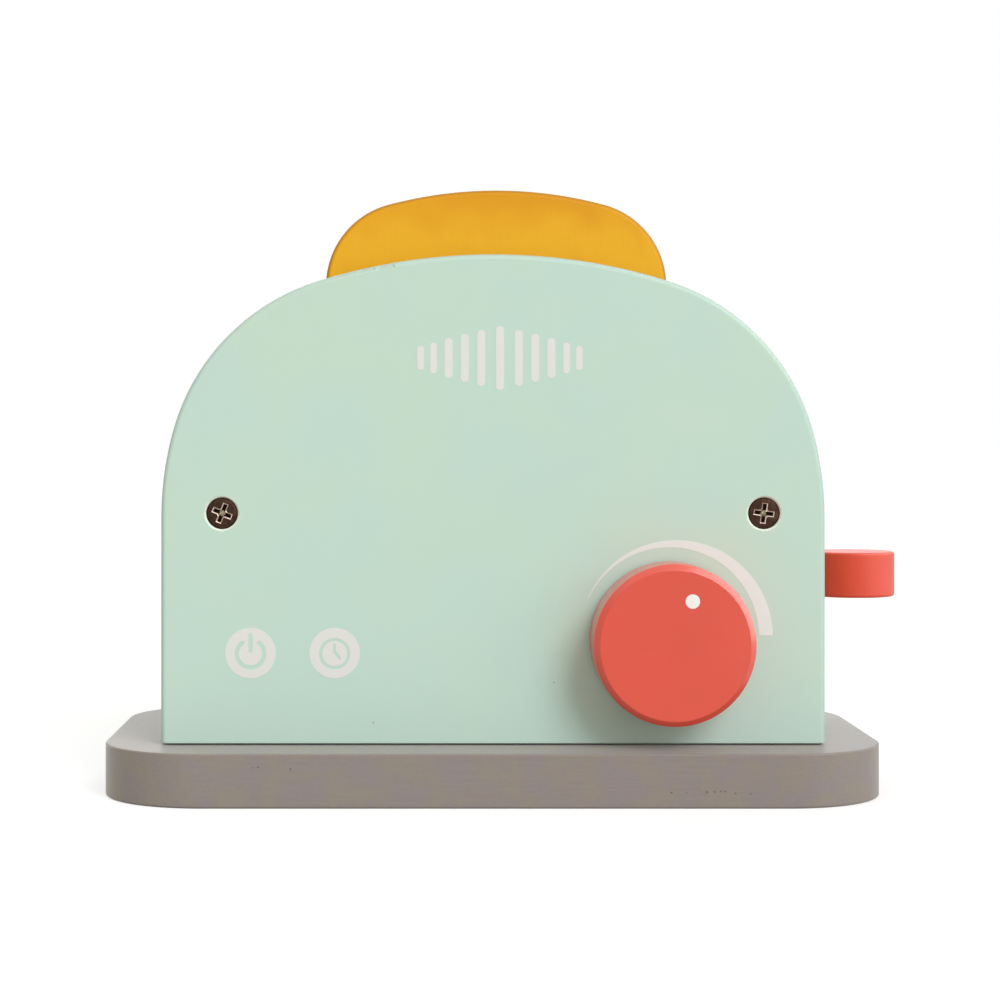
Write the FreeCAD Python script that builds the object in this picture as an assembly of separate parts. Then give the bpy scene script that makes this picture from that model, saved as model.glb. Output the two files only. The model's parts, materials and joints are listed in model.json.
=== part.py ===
import FreeCAD, Part
import math
import os

# Wooden toy pop-up toaster. Millimetres. X is to the right, Y to the back, Z up.
# The origin is the centre of the base board's underside. Heights named *_Z are
# counted from the top face of the base board, where the body stands.

# ---- base board ----
BASE_WIDTH = 220.0
BASE_DEPTH = 114.0
BASE_THICKNESS = 15.0
BASE_CORNER_R = 29.3
BASE_TOP_ROUND = 0.5
BASE_BOTTOM_ROUND = 0.8

# ---- arched front and rear panels ----
PANEL_WIDTH = 186.6
PANEL_HEIGHT = 137.9
PANEL_THICKNESS = 15.0
ARCH_CROWN_R = 165.5
ARCH_SHOULDER_R = 61.0
ARCH_FLANK_R = 89.4
ARCH_FLANK_TURN = 16.3     # degrees that the flank's arc turns through, above the straight side
PANEL_FACE_ROUND = 1.5
PANEL_INNER_ROUND = 0.8
PANEL_FOOT_ROUND = 0.4     # sawn off square after the outline is rounded, then eased
PANEL_FOOT_GAP = 0.4       # the panels hang on the blocks, just clear of the base
BODY_DEPTH = 78.0          # over both panels

# ---- side blocks and the divider between the two slots ----
BLOCK_INSET = 2.5          # the blocks stand back from the panels' outline
BLOCK_LIP_ROUND = 1.2
DIVIDER_THICKNESS = 9.0
DIVIDER_DROP = 14.0        # top edge below the crown of the arch
DIVIDER_TONGUE = 4.0
DIVIDER_TOP_ROUND = 2.0
GROOVE_CLEARANCE = 0.1

# ---- slices of toast ----
TOAST_WIDTH = 98.3
TOAST_HEIGHT = 100.4
TOAST_THICKNESS = 15.0
TOAST_CROWN_R = 120.0
TOAST_SHOULDER_R = 24.2
TOAST_WAIST = 3.0          # each side is this much narrower below its shoulder
TOAST_NECK_R = 15.0
TOAST_CORNER_R = 8.0
TOAST_ROUND = 1.5
TOAST_END_CLEARANCE = 2.55 # to the side blocks, for a slice in the middle of its slot
TOAST_SHIFT = 1.5          # both slices lie this far to the right of the middle
TOAST_SEAT_GAP = 0.3

# ---- lever: a red disc on a bar that goes through the right block ----
LEVER_TRAVEL = 30.0
LEVER_Z = 46.0             # middle of the handle, raised
HANDLE_HEIGHT = 13.2
HANDLE_D = 25.0            # a round disc that lies flat
HANDLE_REACH = 27.2        # beyond the panel's edge
HANDLE_ROUND = 0.8
ARM_WIDTH = 10.0
ARM_HEIGHT = 10.0
ARM_TENON = 14.0           # length held in the handle
ARM_OVERLAP = 18.0         # length under the platform
ARM_SCREW_SPACING = 9.0
ARM_EDGE_ROUND = 1.2
SLOT_SIDE_CLEARANCE = 0.5
SLOT_CORNER_R = 1.5
SLOT_MOUTH_ROUND = 0.7
STOP_GAP = 0.4             # bar to the slot's ends, at both stops

# ---- platform that carries the toast ----
PLATFORM_THICKNESS = 6.0
PLATFORM_CLEARANCE = 0.8
PLATFORM_CORNER_R = 2.0
PLATFORM_TOP_GAP = 1.4     # to the divider, raised

# ---- guide rods and lift springs ----
ROD_D = 5.0
ROD_X = 26.0
ROD_IN_BASE = 8.0
ROD_IN_DIVIDER = 8.0
RUNNING_CLEARANCE = 0.08   # radial, for what turns or slides
SPRING_WIRE_D = 0.9
SPRING_MEAN_D = 8.4
SPRING_TURNS = 9.0

# ---- magnetic catch that holds the platform down ----
CATCH_SIZE = 20.0
CATCH_GAP = 0.3
MAGNET_D = 12.0
MAGNET_T = 4.0
STRIKE_D = 16.0
STRIKE_T = 2.0

# ---- timer knob and its spindle ----
KNOB_D = 44.5
KNOB_PROJECTION = 18.6
KNOB_FROM_EDGE = 44.1      # axis to the panel's right edge
KNOB_Z = 29.5
KNOB_CHAMFER = 1.6
KNOB_EDGE_ROUND = 0.4      # on both edges of the chamfer
KNOB_BACK_ROUND = 0.6
SPINDLE_D = 10.0
SPINDLE_IN_KNOB = 14.0
FELT_D = 30.0
FELT_T = 1.0
POCKET_D = 20.0
POCKET_DEPTH = 5.0
WASHER_D = 18.0
WASHER_T = 1.2
AXIAL_PLAY = 0.2           # on each side of the panel

# ---- fixings ----
FIT = 0.02                 # radial, for what is glued, pressed or screwed tight
SCREW_D = 4.4
SCREW_HEAD_D = 8.8
SCREW_SINK = 0.45          # head below the board's face, in a flared mouth
SCREW_LENGTH = 32.0
SMALL_SCREW_D = 2.9
SMALL_HEAD_D = 5.6
ARM_SCREW_LENGTH = 11.0
STRIKE_SCREW_LENGTH = 7.0
SPINDLE_SCREW_LENGTH = 11.0
PAN_HEAD_T = 2.0
PAN_HEAD_ROUND = 1.2
SINK_CLEARANCE = 0.1       # radial, head to countersink
PLAIN_HEAD_T = 0.5         # straight rim above a countersunk head's cone
SCREW_RECESS = 5.8         # across the arms of the cross
SMALL_RECESS = 3.4
RECESS_ARM = 0.25          # these four are shares of the cross's width, or of its head's depth
RECESS_HUB_TOP = 0.294
RECESS_HUB_FOOT = 0.2
RECESS_DEPTH = 0.7
SCREW_TIP = 1 / 6          # flat of the point, as a share of the shank's width
PANEL_SCREW_FROM_EDGE = 17.2
PANEL_SCREW_Z = 65.1
FRONT_SCREW_TURNS = (-22.0, -7.0)     # the crosses stand as the screwdriver left them
REAR_SCREW_TURNS = (20.0, 38.0)
BASE_SCREW_TURNS = (-35.0, -15.0, 15.0, 35.0)
ARM_SCREW_TURNS = (12.0, 40.0)
STRIKE_SCREW_TURN = 30.0
SPINDLE_SCREW_TURN = 33.0
BASE_SCREW_FROM_EDGE = 21.5
BASE_SCREW_SPACING = 24.0
DOWEL_D = 6.0
DOWEL_FROM_EDGE = 11.5
DOWEL_Z = 20.0
DOWEL_IN_PANEL = 8.0
DOWEL_IN_BLOCK = 12.0

# ---- worked out from the sizes above ----
DECK = BASE_THICKNESS
EDGE_X = PANEL_WIDTH / 2
HALF_DEPTH = BODY_DEPTH / 2
INNER_Y = HALF_DEPTH - PANEL_THICKNESS
SLOT_END_X = TOAST_WIDTH / 2 + TOAST_END_CLEARANCE
BLOCK_OUTER_X = EDGE_X - BLOCK_INSET
ARM_BOTTOM = DECK + LEVER_Z - ARM_HEIGHT / 2
ARM_TOP = DECK + LEVER_Z + ARM_HEIGHT / 2
PLATFORM_BOTTOM = ARM_TOP
PLATFORM_TOP = PLATFORM_BOTTOM + PLATFORM_THICKNESS
PLATFORM_HALF_X = SLOT_END_X - PLATFORM_CLEARANCE
DIVIDER_BOTTOM = PLATFORM_TOP + PLATFORM_TOP_GAP
TOAST_BOTTOM = PLATFORM_TOP + TOAST_SEAT_GAP
TOAST_Y = (DIVIDER_THICKNESS / 2 + INNER_Y) / 2
ARM_INNER_X = PLATFORM_HALF_X - ARM_OVERLAP
HANDLE_TIP_X = EDGE_X + HANDLE_REACH
HANDLE_INNER_X = HANDLE_TIP_X - HANDLE_D
MAGNET_TOP = PLATFORM_BOTTOM - LEVER_TRAVEL - STRIKE_T - CATCH_GAP
KNOB_AXIS = (EDGE_X - KNOB_FROM_EDGE, DECK + KNOB_Z)
POCKET_FLOOR = -INNER_Y - POCKET_DEPTH   # behind the front panel, where the washer runs
KNOB_BACK = -HALF_DEPTH - AXIAL_PLAY - FELT_T


def vec(x, y, z):
    return FreeCAD.Vector(x, y, z)


def box(x0, x1, y0, y1, z0, z1):
    return Part.makeBox(x1 - x0, y1 - y0, z1 - z0, vec(x0, y0, z0))


def rod_z(d, x, y, z0, z1):
    return Part.makeCylinder(d / 2, z1 - z0, vec(x, y, z0))


def rod_y(d, x, z, y0, y1):
    return Part.makeCylinder(d / 2, y1 - y0, vec(x, y0, z), vec(0, 1, 0))


def line(a, b):
    return Part.makeLine(a, b)


def arc(centre, r, start, end, lift):
    """Arc about centre, from angle start to end, in degrees; lift makes a 3D point."""
    def at(angle):
        a = math.radians(angle)
        return lift(centre[0] + r * math.cos(a), centre[1] + r * math.sin(a))
    return Part.Arc(at(start), at((start + end) / 2), at(end)).toShape()


def extrude(edges, direction):
    return Part.Face(Part.Wire(Part.__sortEdges__(edges))).extrude(direction)


def round_edges(shape, radius, wanted):
    """Fillets the edges whose every vertex and middle point passes the test."""
    picked = []
    for edge in shape.Edges:
        middle = edge.valueAt((edge.FirstParameter + edge.LastParameter) / 2)
        points = [v.Point for v in edge.Vertexes] + [middle]
        if all(wanted(p) for p in points):
            picked.append(edge)
    return shape.makeFillet(radius, picked)


def near(a, b):
    return abs(a - b) < 1e-4


def shoulder_arc(centre_x, height, crown_r, shoulder_r):
    """Height of the shoulder arc's centre, and the angle where it meets the crown's arc."""
    rise = math.sqrt((crown_r - shoulder_r) ** 2 - centre_x ** 2)
    return height - crown_r + rise, math.degrees(math.atan2(rise, centre_x))


def arch_solid(inset, foot, y0, y1):
    """Arch of the panels' outline, drawn in by inset; flat foot at height foot."""
    half = EDGE_X - inset
    height = PANEL_HEIGHT - inset
    crown = ARCH_CROWN_R - inset
    shoulder = ARCH_SHOULDER_R - inset
    flank = ARCH_FLANK_R - inset
    turn = math.radians(ARCH_FLANK_TURN)
    cx = half - flank + (flank - shoulder) * math.cos(turn)
    cz, meet = shoulder_arc(cx, height, crown, shoulder)
    flank_z = cz - (flank - shoulder) * math.sin(turn)

    def lift(x, z):
        return vec(x, y0, z + DECK)

    edges = [
        line(lift(-half, foot), lift(half, foot)),
        line(lift(half, foot), lift(half, flank_z)),
        arc((half - flank, flank_z), flank, 0, ARCH_FLANK_TURN, lift),
        arc((cx, cz), shoulder, ARCH_FLANK_TURN, meet, lift),
        arc((0, height - crown), crown, meet, 180 - meet, lift),
        arc((-cx, cz), shoulder, 180 - meet, 180 - ARCH_FLANK_TURN, lift),
        arc((flank - half, flank_z), flank, 180 - ARCH_FLANK_TURN, 180, lift),
        line(lift(-half, flank_z), lift(-half, foot)),
    ]
    return extrude(edges, vec(0, y1 - y0, 0))


# ---- fixings ----
def cross_shape(span, width, z0, z1):
    arm = box(-span / 2, span / 2, -width / 2, width / 2, z0, z1)
    return arm.fuse(arm.rotated(vec(0, 0, 0), vec(0, 0, 1), 90))


def wood_screw(d, head_d, length, recess):
    """Countersunk screw along Z: head's top face at 0, tip at -length."""
    cone = (head_d - d) / 2
    point = d
    body = Part.makeCylinder(head_d / 2, PLAIN_HEAD_T, vec(0, 0, -PLAIN_HEAD_T))
    body = body.fuse(Part.makeCone(d / 2, head_d / 2, cone, vec(0, 0, -PLAIN_HEAD_T - cone)))
    neck = length - PLAIN_HEAD_T - cone - point
    body = body.fuse(Part.makeCylinder(d / 2, neck, vec(0, 0, point - length)))
    body = body.fuse(Part.makeCone(d * SCREW_TIP / 2, d / 2, point, vec(0, 0, -length)))
    body = body.removeSplitter()
    depth = (PLAIN_HEAD_T + cone) * RECESS_DEPTH
    hub = Part.makeCone(recess * RECESS_HUB_FOOT, recess * RECESS_HUB_TOP, depth, vec(0, 0, -depth))
    return body.cut(cross_shape(recess, recess * RECESS_ARM, -depth, 1).fuse(hub))


def screw_hole(d, head_d, length, sink):
    """Clearance shape for wood_screw; above the head its mouth flares at 45 degrees to the face."""
    r = d / 2 + FIT
    top_r = head_d / 2 + SINK_CLEARANCE
    cone = top_r - r
    tool = Part.makeCylinder(r, length + FIT, vec(0, 0, -length - FIT))
    tool = tool.fuse(Part.makeCone(r, top_r, cone, vec(0, 0, -PLAIN_HEAD_T - cone)))
    tool = tool.fuse(Part.makeCylinder(top_r, PLAIN_HEAD_T + 1, vec(0, 0, -PLAIN_HEAD_T)))
    if sink > 0:
        tool = tool.fuse(Part.makeCone(top_r, top_r + 2 * sink, 2 * sink))
    return tool


def aimed(shape, tilt, x, y, z, turn=0.0):
    """Turned about its own axis, tilted about X, then moved."""
    placed = shape.rotated(vec(0, 0, 0), vec(0, 0, 1), turn)
    placed = placed.rotated(vec(0, 0, 0), vec(1, 0, 0), tilt)
    placed.translate(vec(x, y, z))
    return placed


def panel_screw_places(side):
    """side is -1 at the front and +1 at the back; the head faces outwards."""
    turns = FRONT_SCREW_TURNS if side < 0 else REAR_SCREW_TURNS
    places = []
    for x_sign, turn in zip((-1, 1), turns):
        x = x_sign * (EDGE_X - PANEL_SCREW_FROM_EDGE)
        places.append((-90 * side, x, side * (HALF_DEPTH - SCREW_SINK), DECK + PANEL_SCREW_Z, turn))
    return places


def base_screw_places():
    x = EDGE_X - BASE_SCREW_FROM_EDGE
    y = BASE_SCREW_SPACING / 2
    signs = [(sx, sy) for sx in (-1, 1) for sy in (-1, 1)]
    return [(180, sx * x, sy * y, SCREW_SINK, turn) for (sx, sy), turn in zip(signs, BASE_SCREW_TURNS)]


def big_screws(places):
    screw = wood_screw(SCREW_D, SCREW_HEAD_D, SCREW_LENGTH, SCREW_RECESS)
    return [aimed(screw, *place) for place in places]


def big_screw_holes(places):
    hole = screw_hole(SCREW_D, SCREW_HEAD_D, SCREW_LENGTH, SCREW_SINK)
    return [aimed(hole, *place) for place in places]


def small_screw(length):
    return wood_screw(SMALL_SCREW_D, SMALL_HEAD_D, length, SMALL_RECESS)


def small_screw_hole(length):
    return screw_hole(SMALL_SCREW_D, SMALL_HEAD_D, length, 0)


def arm_screw_places():
    middle = ARM_INNER_X + ARM_OVERLAP / 2
    inner = middle - ARM_SCREW_SPACING / 2
    outer = middle + ARM_SCREW_SPACING / 2
    return [(0, x, 0, PLATFORM_TOP, turn) for x, turn in zip((inner, outer), ARM_SCREW_TURNS)]


def strike_screw_place():
    return (180, 0, 0, PLATFORM_BOTTOM - STRIKE_T, STRIKE_SCREW_TURN)


def dowel(side, x_sign, extra):
    """Locating dowel across the joint of a panel and a block; extra widens it to its hole."""
    y_panel = side * (INNER_Y + DOWEL_IN_PANEL + extra)
    y_block = side * (INNER_Y - DOWEL_IN_BLOCK - extra)
    y0, y1 = sorted((y_panel, y_block))
    return rod_y(DOWEL_D + 2 * extra, x_sign * (EDGE_X - DOWEL_FROM_EDGE), DECK + DOWEL_Z, y0, y1)


# ---- boards ----
def base_board():
    half_w = BASE_WIDTH / 2
    half_d = BASE_DEPTH / 2
    board = box(-half_w, half_w, -half_d, half_d, 0, BASE_THICKNESS)
    board = round_edges(board, BASE_CORNER_R,
                        lambda p: near(abs(p.x), half_w) and near(abs(p.y), half_d))
    board = round_edges(board, BASE_TOP_ROUND, lambda p: near(p.z, BASE_THICKNESS))
    board = round_edges(board, BASE_BOTTOM_ROUND, lambda p: near(p.z, 0))
    tools = big_screw_holes(base_screw_places())
    for sx in (-1, 1):
        tools.append(rod_z(ROD_D + 2 * FIT, sx * ROD_X, 0, DECK - ROD_IN_BASE - FIT, DECK + 1))
    return board.cut(tools)


def arched_panel(side):
    """Panel with its rounded face outwards: side -1 is the front, +1 the back."""
    inner = side * INNER_Y
    outer = side * HALF_DEPTH
    foot = DECK + PANEL_FOOT_GAP
    blank_foot = foot - 2 * PANEL_FACE_ROUND
    board = arch_solid(0, blank_foot - DECK, *sorted((inner, outer)))
    for y, radius in ((outer, PANEL_FACE_ROUND), (inner, PANEL_INNER_ROUND)):
        board = round_edges(board, radius, lambda p: near(p.y, y)
                            and (p.z > blank_foot + 1e-3 or abs(p.x) > EDGE_X - PANEL_FACE_ROUND))
    board = board.cut(box(-EDGE_X - 1, EDGE_X + 1, -HALF_DEPTH - 1, HALF_DEPTH + 1, blank_foot - 1, foot))
    board = round_edges(board, PANEL_FOOT_ROUND, lambda p: near(p.z, foot))
    tools = big_screw_holes(panel_screw_places(side))
    tools += [dowel(side, sx, FIT) for sx in (-1, 1)]
    return board.cut(tools)


def front_panel():
    x, z = KNOB_AXIS
    panel = arched_panel(-1)
    bore = rod_y(SPINDLE_D + 2 * RUNNING_CLEARANCE, x, z, -HALF_DEPTH - 1, -INNER_Y + 1)
    pocket = rod_y(POCKET_D, x, z, -INNER_Y - POCKET_DEPTH, -INNER_Y + 1)
    return panel.cut([bore, pocket])


def divider_groove(x_sign):
    """Groove in a side block for the divider's tongue, open at the top."""
    half = DIVIDER_THICKNESS / 2 + GROOVE_CLEARANCE
    deep = SLOT_END_X + DIVIDER_TONGUE + GROOVE_CLEARANCE
    x0, x1 = sorted((x_sign * (SLOT_END_X - 1), x_sign * deep))
    return box(x0, x1, -half, half, DIVIDER_BOTTOM, DECK + PANEL_HEIGHT)


def side_block(x_sign):
    """Solid block between the panels, shaped to the arch outside and flat inside."""
    x0, x1 = sorted((x_sign * SLOT_END_X, x_sign * PANEL_WIDTH))
    zone = box(x0, x1, -INNER_Y, INNER_Y, DECK, DECK + PANEL_HEIGHT)
    block = arch_solid(BLOCK_INSET, 0, -INNER_Y, INNER_Y).common(zone)
    top = block.BoundBox.ZMax
    block = round_edges(block, BLOCK_LIP_ROUND,
                        lambda p: near(p.x, x_sign * SLOT_END_X) and near(p.z, top))
    tools = [divider_groove(x_sign)]
    tools += big_screw_holes(panel_screw_places(-1) + panel_screw_places(1) + base_screw_places())
    tools += [dowel(side, x_sign, FIT) for side in (-1, 1)]
    return block.cut(tools)


def right_side_block():
    """The right block has a tall slot for the lever's bar."""
    half = ARM_WIDTH / 2 + SLOT_SIDE_CLEARANCE
    bottom = ARM_BOTTOM - LEVER_TRAVEL - STOP_GAP
    top = ARM_TOP + STOP_GAP
    slot = box(SLOT_END_X - 1, BLOCK_OUTER_X + 1, -half, half, bottom, top)
    slot = round_edges(slot, SLOT_CORNER_R,
                       lambda p: near(abs(p.y), half) and (near(p.z, bottom) or near(p.z, top)))
    block = side_block(1).cut(slot)

    def mouth(p):
        return near(p.x, BLOCK_OUTER_X) and abs(p.y) < half + 1e-3 and bottom - 1e-3 < p.z < top + 1e-3
    return round_edges(block, SLOT_MOUTH_ROUND, mouth)


def slot_divider():
    half_x = SLOT_END_X + DIVIDER_TONGUE
    half_y = DIVIDER_THICKNESS / 2
    top = DECK + PANEL_HEIGHT - DIVIDER_DROP
    board = box(-half_x, half_x, -half_y, half_y, DIVIDER_BOTTOM, top)
    board = round_edges(board, DIVIDER_TOP_ROUND, lambda p: near(p.z, top) and near(abs(p.y), half_y))
    hole_top = DIVIDER_BOTTOM + ROD_IN_DIVIDER + FIT
    return board.cut([rod_z(ROD_D + 2 * FIT, sx * ROD_X, 0, DIVIDER_BOTTOM - 1, hole_top) for sx in (-1, 1)])


# ---- toast ----
def toast(y):
    """Slice with a low crown, two round shoulders and a slight waist, centred on y."""
    half = TOAST_WIDTH / 2
    cx = half - TOAST_SHOULDER_R
    cz, meet = shoulder_arc(cx, TOAST_HEIGHT, TOAST_CROWN_R, TOAST_SHOULDER_R)
    waist = half - TOAST_WAIST
    reach = TOAST_SHOULDER_R + TOAST_NECK_R
    turn = math.degrees(math.acos((waist + TOAST_NECK_R - cx) / reach))
    neck_x = waist + TOAST_NECK_R
    neck_z = cz - reach * math.sin(math.radians(turn))
    r = TOAST_CORNER_R
    edges = []
    for s in (-1, 1):
        def lift(x, z, s=s):
            return vec(s * x + TOAST_SHIFT, y - TOAST_THICKNESS / 2, z + TOAST_BOTTOM)
        edges.append(arc((cx, cz), TOAST_SHOULDER_R, -turn, meet, lift))
        edges.append(arc((neck_x, neck_z), TOAST_NECK_R, 180 - turn, 180, lift))
        edges.append(line(lift(waist, neck_z), lift(waist, r)))
        edges.append(arc((waist - r, r), r, 0, -90, lift))
        edges.append(line(lift(waist - r, 0), lift(0, 0)))
        edges.append(arc((0, TOAST_HEIGHT - TOAST_CROWN_R), TOAST_CROWN_R, meet, 90, lift))
    bread = extrude(edges, vec(0, TOAST_THICKNESS, 0))
    return round_edges(bread, TOAST_ROUND, lambda p: near(abs(p.y - y), TOAST_THICKNESS / 2))


# ---- what goes up and down ----
def toast_platform():
    x = PLATFORM_HALF_X
    y = INNER_Y - PLATFORM_CLEARANCE
    board = box(-x, x, -y, y, PLATFORM_BOTTOM, PLATFORM_TOP)
    board = round_edges(board, PLATFORM_CORNER_R, lambda p: near(abs(p.x), x) and near(abs(p.y), y))
    bore = ROD_D + 2 * RUNNING_CLEARANCE
    tools = [rod_z(bore, sx * ROD_X, 0, PLATFORM_BOTTOM - 1, PLATFORM_TOP + 1) for sx in (-1, 1)]
    tools += [aimed(small_screw_hole(ARM_SCREW_LENGTH), *place) for place in arm_screw_places()]
    tools.append(aimed(small_screw_hole(STRIKE_SCREW_LENGTH), *strike_screw_place()))
    return board.cut(tools)


def lever_arm():
    half = ARM_WIDTH / 2
    bar = box(ARM_INNER_X, HANDLE_INNER_X + ARM_TENON, -half, half, ARM_BOTTOM, ARM_TOP)
    bar = round_edges(bar, ARM_EDGE_ROUND,
                      lambda p: near(abs(p.y), half) and (near(p.z, ARM_BOTTOM) or near(p.z, ARM_TOP)))
    return bar.cut([aimed(small_screw_hole(ARM_SCREW_LENGTH), *place) for place in arm_screw_places()])


def lever_handle():
    """Flat disc with eased edges, mortised for the bar."""
    z0 = DECK + LEVER_Z - HANDLE_HEIGHT / 2
    top = z0 + HANDLE_HEIGHT
    disc = rod_z(HANDLE_D, HANDLE_TIP_X - HANDLE_D / 2, 0, z0, top)
    disc = round_edges(disc, HANDLE_ROUND, lambda p: near(p.z, z0) or near(p.z, top))
    half = ARM_WIDTH / 2 + FIT
    depth = ARM_TENON + FIT
    mortise = box(HANDLE_INNER_X - 1, HANDLE_INNER_X + depth, -half, half, ARM_BOTTOM - FIT, ARM_TOP + FIT)
    return disc.cut(mortise)


def strike_plate():
    plate = rod_z(STRIKE_D, 0, 0, PLATFORM_BOTTOM - STRIKE_T, PLATFORM_BOTTOM)
    return plate.cut(aimed(small_screw_hole(STRIKE_SCREW_LENGTH), *strike_screw_place()))


# ---- rods, springs and catch ----
def guide_rods():
    z0 = DECK - ROD_IN_BASE
    z1 = DIVIDER_BOTTOM + ROD_IN_DIVIDER
    return [rod_z(ROD_D, sx * ROD_X, 0, z0, z1) for sx in (-1, 1)]


def lift_spring(x):
    """Coil from the base board to the underside of the platform."""
    z0 = DECK + SPRING_WIRE_D / 2
    height = PLATFORM_BOTTOM - DECK - SPRING_WIRE_D
    r = SPRING_MEAN_D / 2
    path = Part.Wire(Part.makeHelix(height / SPRING_TURNS, height, r).Edges)
    wire = Part.Wire(Part.makeCircle(SPRING_WIRE_D / 2, vec(r, 0, 0), vec(0, 1, 0)))
    coil = path.makePipeShell([wire], True, True)
    coil.translate(vec(x, 0, z0))
    return coil


def catch_block():
    half = CATCH_SIZE / 2
    block = box(-half, half, -half, half, DECK, MAGNET_TOP)
    return block.cut(rod_z(MAGNET_D + 2 * FIT, 0, 0, MAGNET_TOP - MAGNET_T - FIT, MAGNET_TOP + 1))


def catch_magnet():
    return rod_z(MAGNET_D, 0, 0, MAGNET_TOP - MAGNET_T, MAGNET_TOP)


# ---- knob ----
def knob():
    x, z = KNOB_AXIS
    front = -HALF_DEPTH - KNOB_PROJECTION
    wall = front + KNOB_CHAMFER
    body = rod_y(KNOB_D, x, z, wall, KNOB_BACK)
    body = body.fuse(Part.makeCone(KNOB_D / 2 - KNOB_CHAMFER, KNOB_D / 2, KNOB_CHAMFER,
                                   vec(x, front, z), vec(0, 1, 0))).removeSplitter()
    body = round_edges(body, KNOB_EDGE_ROUND, lambda p: near(p.y, front) or near(p.y, wall))
    body = round_edges(body, KNOB_BACK_ROUND, lambda p: near(p.y, KNOB_BACK))
    bore_end = KNOB_BACK - SPINDLE_IN_KNOB - FIT
    return body.cut(rod_y(SPINDLE_D + 2 * FIT, x, z, bore_end, KNOB_BACK + 1))


def spindle_screw_place():
    x, z = KNOB_AXIS
    return (-90, x, POCKET_FLOOR + AXIAL_PLAY + WASHER_T, z, SPINDLE_SCREW_TURN)


def pan_screw():
    """Round-head screw along Z: underside of the head at 0, tip at -SPINDLE_SCREW_LENGTH."""
    head = Part.makeCylinder(SMALL_HEAD_D / 2, PAN_HEAD_T)
    head = round_edges(head, PAN_HEAD_ROUND, lambda p: near(p.z, PAN_HEAD_T))
    shank = rod_z(SMALL_SCREW_D, 0, 0, -SPINDLE_SCREW_LENGTH, 0)
    recess = cross_shape(SMALL_RECESS, SMALL_RECESS * RECESS_ARM, PAN_HEAD_T / 2, PAN_HEAD_T + 1)
    return head.fuse(shank).removeSplitter().cut(recess)


def knob_spindle():
    x, z = KNOB_AXIS
    end = POCKET_FLOOR + AXIAL_PLAY
    pin = rod_y(SPINDLE_D, x, z, KNOB_BACK - SPINDLE_IN_KNOB, end)
    return pin.cut(rod_y(SMALL_SCREW_D + 2 * FIT, x, z, end - SPINDLE_SCREW_LENGTH, end + 1))


def ring_y(outer_d, inner_d, y0, y1):
    x, z = KNOB_AXIS
    return rod_y(outer_d, x, z, y0, y1).cut(rod_y(inner_d, x, z, y0 - 1, y1 + 1))


def knob_felt_washer():
    return ring_y(FELT_D, SPINDLE_D + 2 * FIT, KNOB_BACK, KNOB_BACK + FELT_T)


def spindle_washer():
    y0 = POCKET_FLOOR + AXIAL_PLAY
    return ring_y(WASHER_D, SMALL_SCREW_D + 2 * FIT, y0, y0 + WASHER_T)


NODES = {
    "base_board": lambda: [base_board()],
    "base_screws": lambda: big_screws(base_screw_places()),
    "front_panel": lambda: [front_panel()],
    "rear_panel": lambda: [arched_panel(1)],
    "left_side_block": lambda: [side_block(-1)],
    "right_side_block": lambda: [right_side_block()],
    "slot_divider": lambda: [slot_divider()],
    "front_panel_screws": lambda: big_screws(panel_screw_places(-1)),
    "rear_panel_screws": lambda: big_screws(panel_screw_places(1)),
    "front_dowels": lambda: [dowel(-1, sx, 0) for sx in (-1, 1)],
    "rear_dowels": lambda: [dowel(1, sx, 0) for sx in (-1, 1)],
    "guide_rods": guide_rods,
    "lift_springs": lambda: [lift_spring(sx * ROD_X) for sx in (-1, 1)],
    "catch_block": lambda: [catch_block()],
    "catch_magnet": lambda: [catch_magnet()],
    "toast_platform": lambda: [toast_platform()],
    "lever_arm": lambda: [lever_arm()],
    "arm_screws": lambda: [aimed(small_screw(ARM_SCREW_LENGTH), *place) for place in arm_screw_places()],
    "lever_handle": lambda: [lever_handle()],
    "strike_plate": lambda: [strike_plate()],
    "strike_screw": lambda: [aimed(small_screw(STRIKE_SCREW_LENGTH), *strike_screw_place())],
    "front_toast": lambda: [toast(-TOAST_Y)],
    "rear_toast": lambda: [toast(TOAST_Y)],
    "knob": lambda: [knob()],
    "knob_spindle": lambda: [knob_spindle()],
    "knob_felt_washer": lambda: [knob_felt_washer()],
    "spindle_washer": lambda: [spindle_washer()],
    "spindle_screw": lambda: [aimed(pan_screw(), *spindle_screw_place())],
}


def main():
    os.makedirs("parts", exist_ok=True)
    for name, make in NODES.items():
        solids = make()
        shape = solids[0] if len(solids) == 1 else Part.makeCompound(solids)
        shape.exportStep("parts/" + name + ".step")
        print(name, len(shape.Solids), round(shape.Volume, 1), shape.isValid())


main()
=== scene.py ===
"""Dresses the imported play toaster: lacquer, printed marks, screws and stage. Metres, Z up."""

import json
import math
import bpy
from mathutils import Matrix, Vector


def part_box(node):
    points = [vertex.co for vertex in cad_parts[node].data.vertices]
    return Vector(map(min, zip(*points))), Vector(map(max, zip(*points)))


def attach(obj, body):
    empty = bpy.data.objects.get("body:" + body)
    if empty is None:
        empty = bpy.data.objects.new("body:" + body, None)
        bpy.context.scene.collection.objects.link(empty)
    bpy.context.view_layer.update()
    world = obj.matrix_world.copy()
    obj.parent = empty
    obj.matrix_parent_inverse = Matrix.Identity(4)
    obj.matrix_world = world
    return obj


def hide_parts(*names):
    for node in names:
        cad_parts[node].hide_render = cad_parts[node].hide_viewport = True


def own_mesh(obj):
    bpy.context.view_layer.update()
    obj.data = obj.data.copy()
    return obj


bl_info = {
    "name": "Play Toaster Finishes",
    "version": (1, 0, 0),
    "blender": (4, 5, 0),
    "location": "View3D > Sidebar > Toaster",
    "description": "Lacquer, printed marks, screws and a stage for a wooden play toaster",
    "category": "Object",
}

import bpy
from mathutils import Vector

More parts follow.
